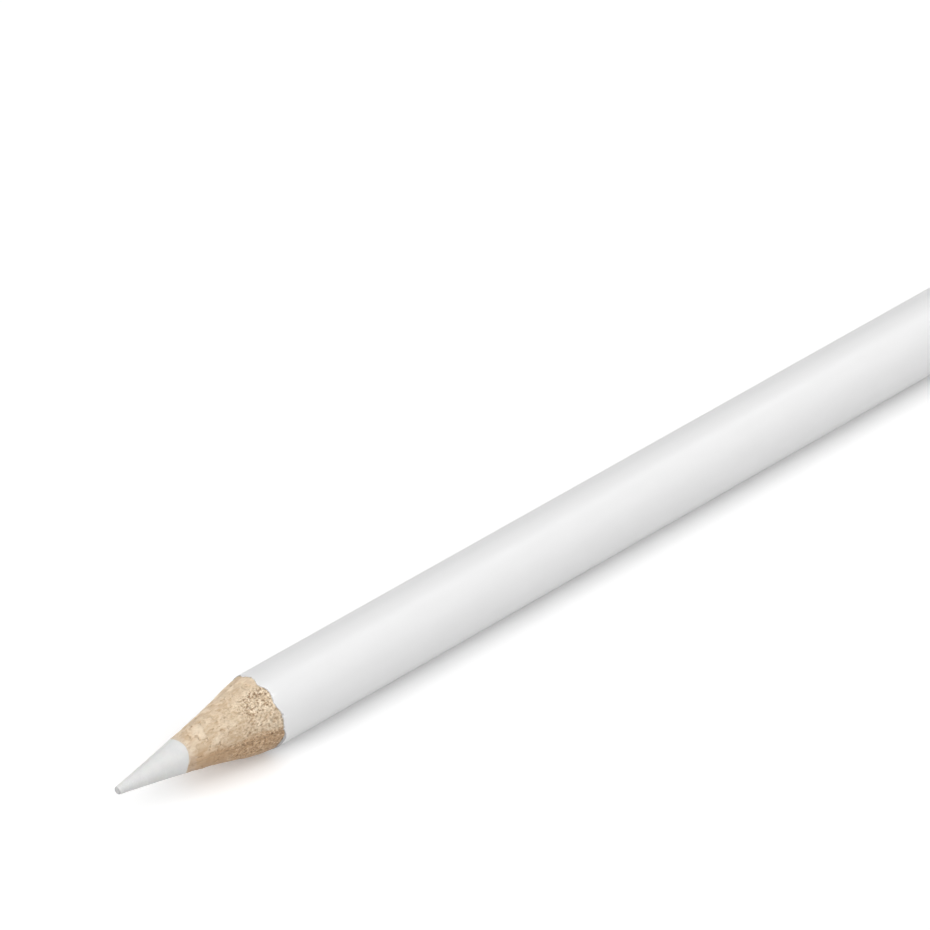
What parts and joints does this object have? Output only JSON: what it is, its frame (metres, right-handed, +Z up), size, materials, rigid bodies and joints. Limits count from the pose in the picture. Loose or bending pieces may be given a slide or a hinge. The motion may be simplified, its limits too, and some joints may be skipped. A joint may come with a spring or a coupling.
{
  "type": "fabric marking pencil",
  "caption": "Round wood-cased fabric marking pencil with a white chalky core, a white lacquered barrel, a ground bare-wood point and a square-cut rear end.",
  "frame": {"origin": "on the surface that the pencil lies on, below the middle of its length and its axis", "axes": "+X along the pencil's axis from the point to the rear end, +Z up from the surface, -Y towards the near side"},
  "size_m": [0.175, 0.0074, 0.0075],
  "materials": {
    "core": "matte",
    "glue": "matte",
    "upper_wood": "matte",
    "lower_wood": "matte",
    "ground_coat": "matte",
    "lacquer": "satin"
  },
  "bodies": {
    "root": {"core": "core", "core_glue": "glue", "upper_slat": "upper_wood", "lower_slat": "lower_wood", "near_seam_glue": "glue", "far_seam_glue": "glue", "ground_coat": "ground_coat", "white_lacquer": "lacquer"}
  },
  "joints": []
}
